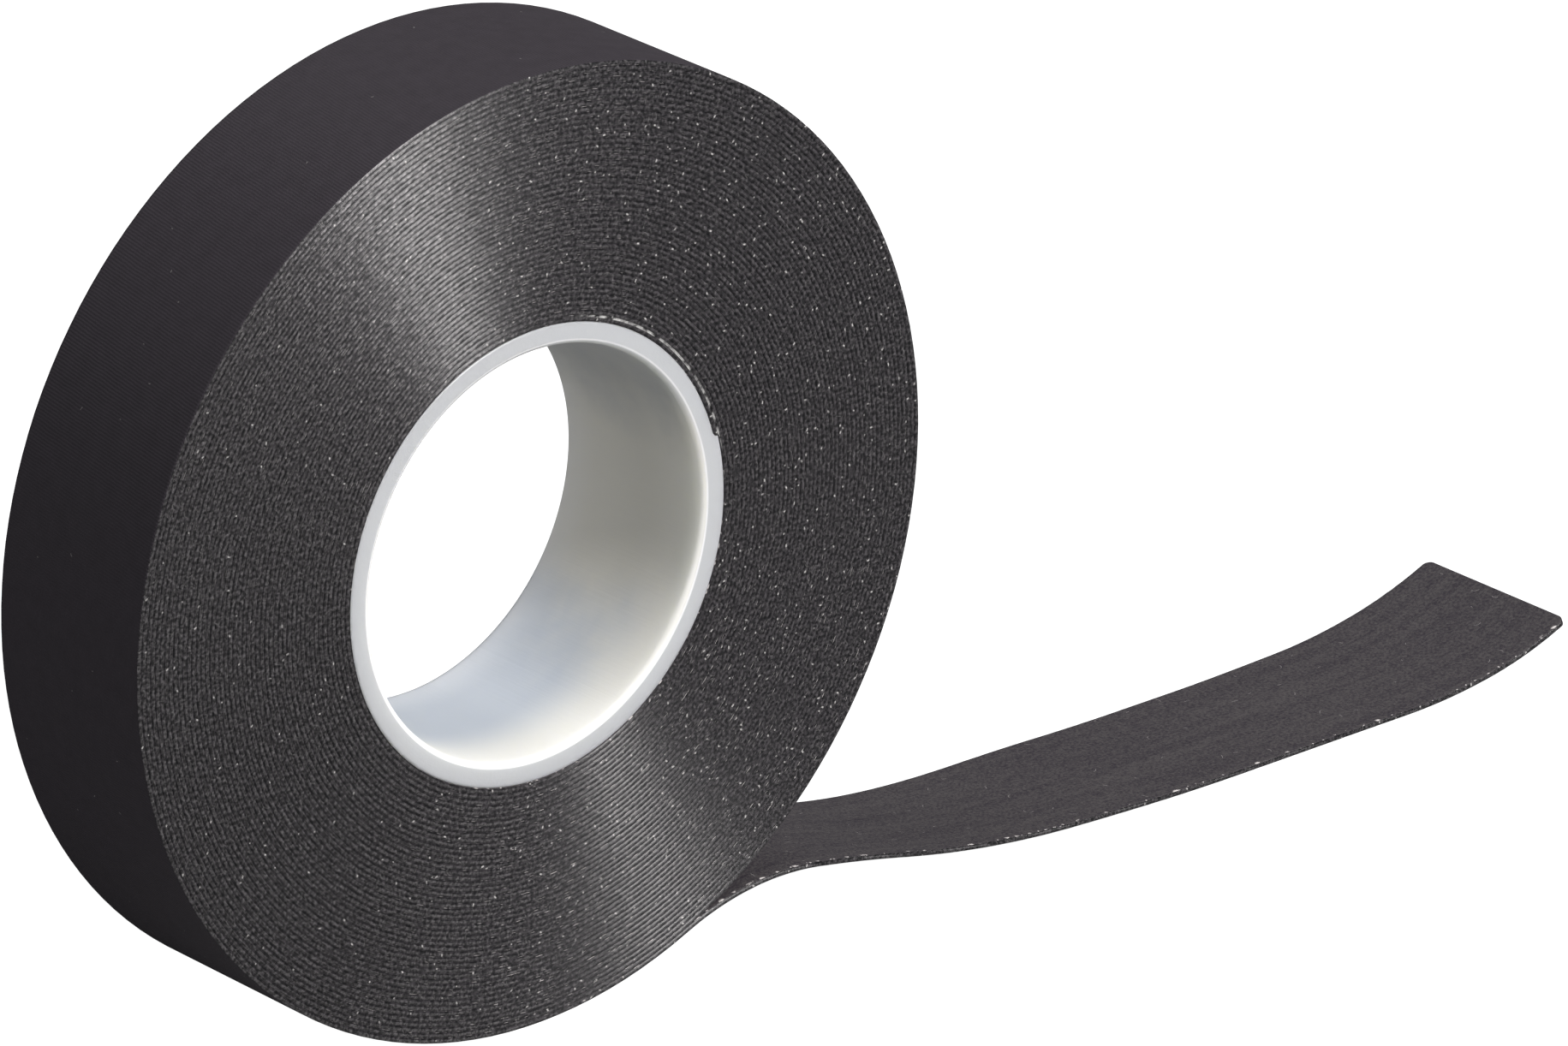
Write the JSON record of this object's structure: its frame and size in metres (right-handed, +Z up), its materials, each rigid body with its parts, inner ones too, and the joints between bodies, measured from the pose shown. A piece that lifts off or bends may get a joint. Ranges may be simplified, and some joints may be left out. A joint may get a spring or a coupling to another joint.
{
  "type": "electrical tape roll",
  "caption": "Roll of black insulating tape wound on a pale plastic core, standing on its rim, with a loose tail peeled off that lifts and curls.",
  "frame": {"origin": "middle of the core's bore, on the roll's axis at half the tape's width", "axes": "+Y along the roll's axis, +X the way the free tail runs, +Z up from the bench that the roll's rim and the tail stand on"},
  "size_m": [0.1766, 0.019, 0.0915],
  "materials": {
    "core_plastic": "translucent milky polyethylene, smooth as moulded",
    "tape_backing": "matte black rubber with fine ribs along the roll's axis",
    "tape_adhesive": "dull tacky black with a fine grain"
  },
  "bodies": {
    "roll": {"core": "core_plastic", "wound_backing": "tape_backing", "wound_adhesive": "tape_adhesive"},
    "tail_1": {"tail_backing_1": "tape_backing", "tail_adhesive_1": "tape_adhesive"},
    "tail_2": {"tail_backing_2": "tape_backing", "tail_adhesive_2": "tape_adhesive"},
    "tail_3": {"tail_backing_3": "tape_backing", "tail_adhesive_3": "tape_adhesive"},
    "tail_4": {"tail_backing_4": "tape_backing", "tail_adhesive_4": "tape_adhesive"},
    "tail_5": {"tail_backing_5": "tape_backing", "tail_adhesive_5": "tape_adhesive"},
    "tail_6": {"tail_backing_6": "tape_backing", "tail_adhesive_6": "tape_adhesive"},
    "tail_7": {"tail_backing_7": "tape_backing", "tail_adhesive_7": "tape_adhesive"},
    "tail_8": {"tail_backing_8": "tape_backing", "tail_adhesive_8": "tape_adhesive"},
    "tail_9": {"tail_backing_9": "tape_backing", "tail_adhesive_9": "tape_adhesive"}
  },
  "joints": [
    {"name": "tail_lift", "type": "hinge", "parent": "roll", "child": "tail_1", "pos_m": [0.03444, 0, -0.0396], "axis": [0, -1, 0], "range_deg": [0, 60]},
    {"name": "tail_curl", "type": "hinge", "parent": "tail_1", "child": "tail_2", "pos_m": [0.04503, 0, -0.0417], "axis": [0, -1, 0], "range_deg": [0, 8]},
    {"name": "tail_curl_3", "type": "hinge", "parent": "tail_2", "child": "tail_3", "pos_m": [0.05565, 0, -0.04367], "axis": [0, -1, 0], "range_deg": [0, 8]},
    {"name": "tail_curl_4", "type": "hinge", "parent": "tail_3", "child": "tail_4", "pos_m": [0.06639, 0, -0.04471], "axis": [0, -1, 0], "range_deg": [0, 8]},
    {"name": "tail_curl_5", "type": "hinge", "parent": "tail_4", "child": "tail_5", "pos_m": [0.07718, 0, -0.04518], "axis": [0, -1, 0], "range_deg": [0, 8]},
    {"name": "tail_curl_6", "type": "hinge", "parent": "tail_5", "child": "tail_6", "pos_m": [0.08798, 0, -0.04537], "axis": [0, -1, 0], "range_deg": [0, 8]},
    {"name": "tail_curl_7", "type": "hinge", "parent": "tail_6", "child": "tail_7", "pos_m": [0.09878, 0, -0.04537], "axis": [0, -1, 0], "range_deg": [0, 8]},
    {"name": "tail_curl_8", "type": "hinge", "parent": "tail_7", "child": "tail_8", "pos_m": [0.10958, 0, -0.04537], "axis": [0, -1, 0], "range_deg": [0, 8]},
    {"name": "tail_curl_9", "type": "hinge", "parent": "tail_8", "child": "tail_9", "pos_m": [0.12034, 0, -0.04452], "axis": [0, -1, 0], "range_deg": [0, 8]}
  ],
  "couplings": [
    {"joint": "tail_curl_3", "follows": "tail_curl", "ratio": 1},
    {"joint": "tail_curl_4", "follows": "tail_curl", "ratio": 1},
    {"joint": "tail_curl_5", "follows": "tail_curl", "ratio": 1},
    {"joint": "tail_curl_6", "follows": "tail_curl", "ratio": 1},
    {"joint": "tail_curl_7", "follows": "tail_curl", "ratio": 1},
    {"joint": "tail_curl_8", "follows": "tail_curl", "ratio": 1},
    {"joint": "tail_curl_9", "follows": "tail_curl", "ratio": 1}
  ]
}
